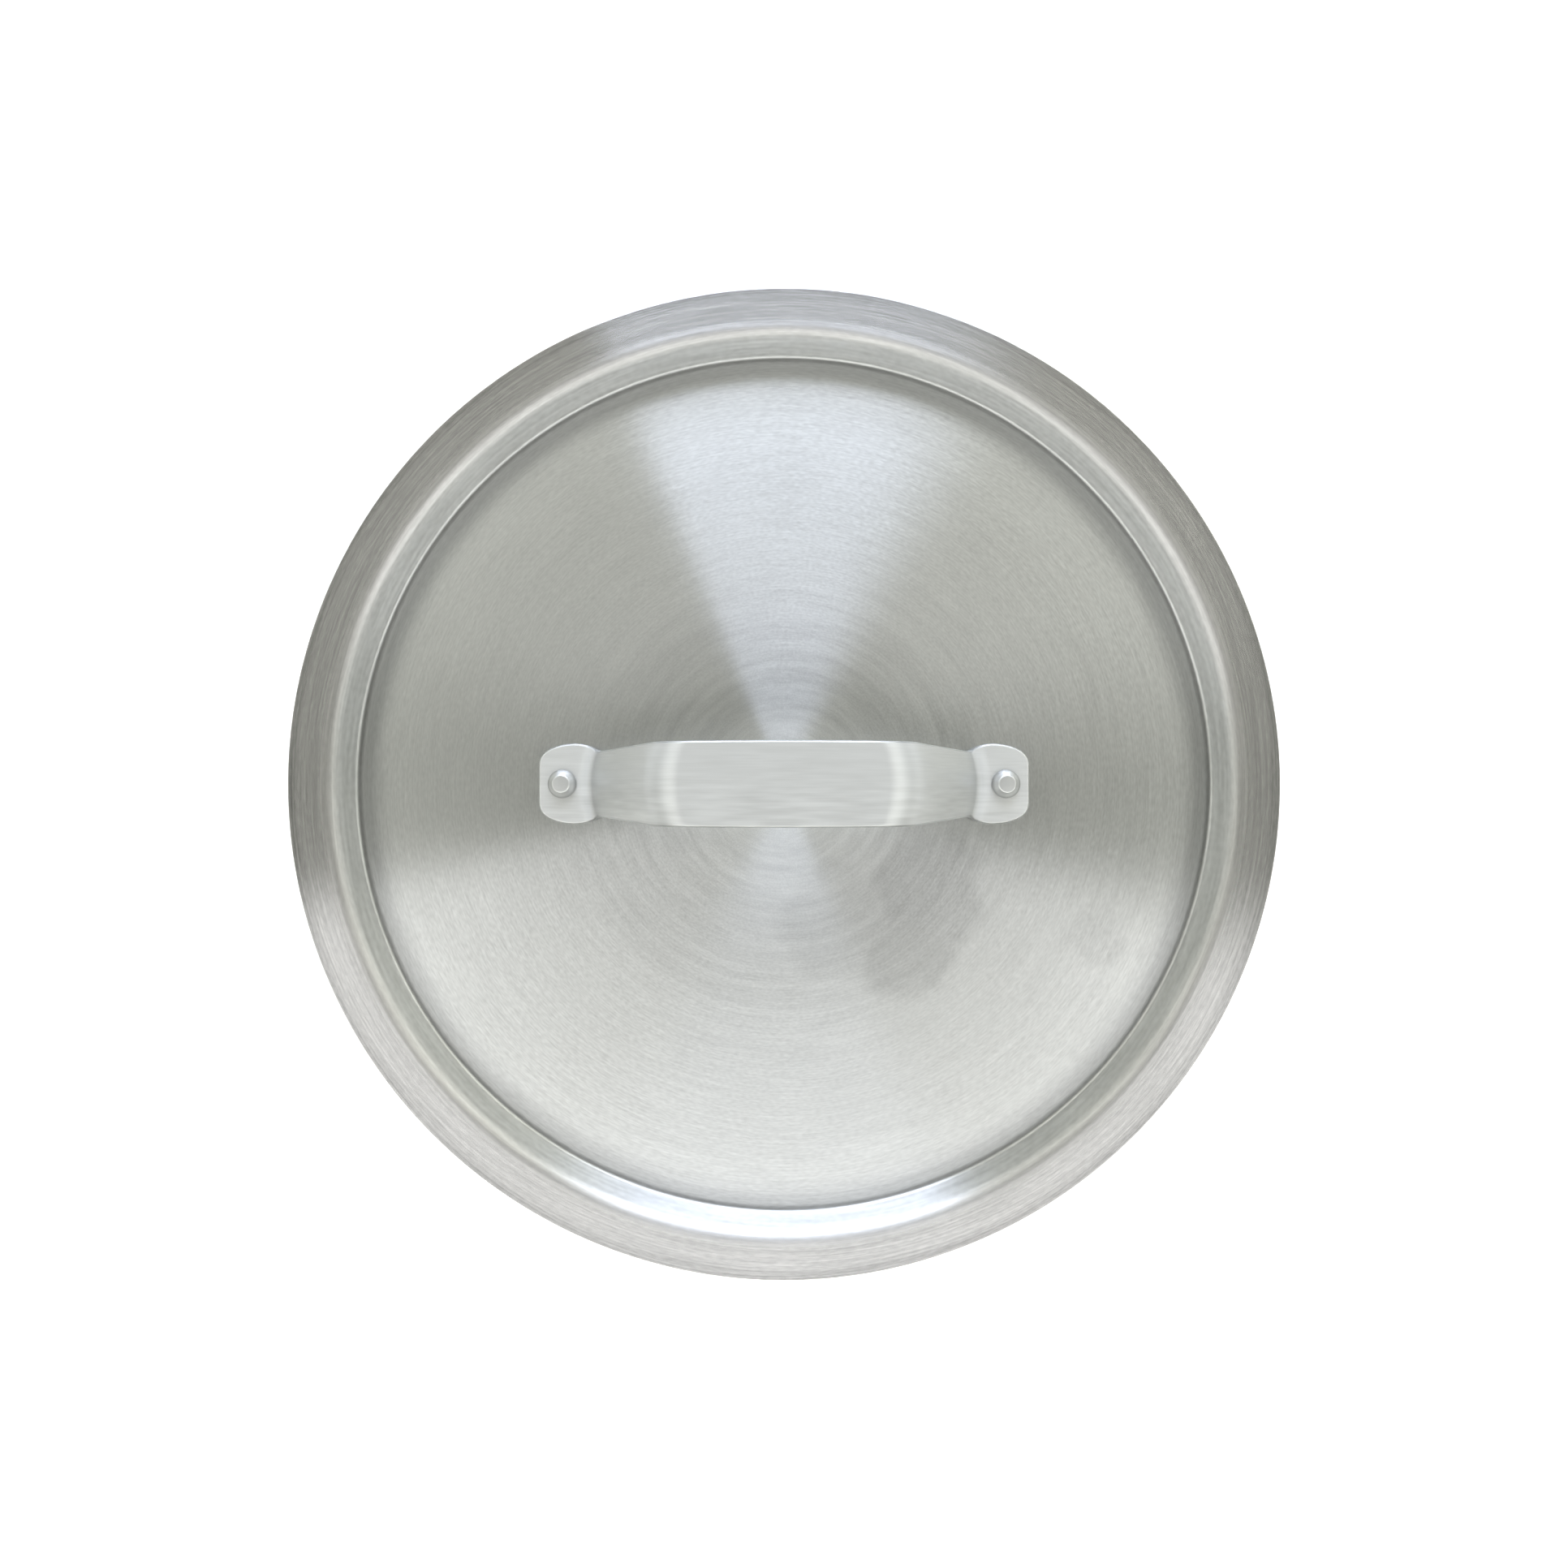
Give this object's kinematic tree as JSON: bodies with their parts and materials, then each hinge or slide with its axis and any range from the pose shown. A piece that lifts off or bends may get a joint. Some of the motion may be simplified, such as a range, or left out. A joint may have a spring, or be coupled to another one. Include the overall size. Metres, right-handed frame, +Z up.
{
  "type": "brew kettle lid",
  "caption": "Round recessed aluminium kettle lid with a flat flange that rests on the kettle's rim and a riveted strap handle across its middle.",
  "frame": {"origin": "middle of the plane that the lid stands on, under its sunk middle", "axes": "+Z up through the handle, +X along the handle from left rivet to right rivet, +Y across the handle"},
  "size_m": [0.3198, 0.3198, 0.0426],
  "materials": {
    "spun_sheet": "spun and circular brushed, satin",
    "handle_strap": "rolled strip, brushed along its length",
    "rivet": "pressed, bright, lightly tarnished"
  },
  "bodies": {
    "root": {"lid_disc": "spun_sheet", "strap_handle": "handle_strap", "rivet_left": "rivet", "rivet_right": "rivet"}
  },
  "joints": []
}
